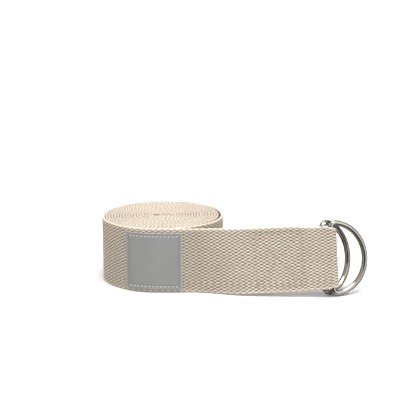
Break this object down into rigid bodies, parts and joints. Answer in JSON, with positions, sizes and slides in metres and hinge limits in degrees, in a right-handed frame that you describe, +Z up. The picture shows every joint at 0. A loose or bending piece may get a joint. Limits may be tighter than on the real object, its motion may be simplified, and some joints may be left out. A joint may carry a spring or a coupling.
{
  "type": "stretching strap",
  "caption": "Cotton webbing stretching strap wound in a roll on its edge, with a straight lead sewn round two steel D-rings and a bare woven label.",
  "frame": {"origin": "on the surface the roll stands on, at the roll's upright winding axis", "axes": "+Z up along the roll's winding axis, +X towards the D-rings, -Y towards the front where the label is"},
  "size_m": [0.1563, 0.0823, 0.0427],
  "materials": {
    "webbing": "matte",
    "ring_steel": "polished",
    "label_cloth": "matte",
    "label_thread": "matte",
    "seam_thread": "matte"
  },
  "bodies": {
    "roll": {"webbing_roll": "webbing", "label": "label_cloth", "label_stitching": "label_thread", "hem_seam": "seam_thread"},
    "lead": {"webbing_lead": "webbing", "ring_seam": "seam_thread"},
    "outer_ring": {"ring_outer": "ring_steel"},
    "inner_ring": {"ring_inner": "ring_steel"}
  },
  "joints": [
    {"name": "lead_bend", "type": "hinge", "parent": "roll", "child": "lead", "pos_m": [0.01762, -0.03503, 0.019], "axis": [0, 0, -1], "range_deg": [-12, 35]},
    {"name": "outer_ring_swing", "type": "hinge", "parent": "lead", "child": "outer_ring", "pos_m": [0.09801, -0.03877, 0.0213], "axis": [0.0422, -0.2455, -0.9685], "range_deg": [0, 150]},
    {"name": "inner_ring_swing", "type": "hinge", "parent": "lead", "child": "inner_ring", "pos_m": [0.09281, -0.03827, 0.02156], "axis": [-0.0422, 0.2455, 0.9685], "range_deg": [0, 85]}
  ]
}
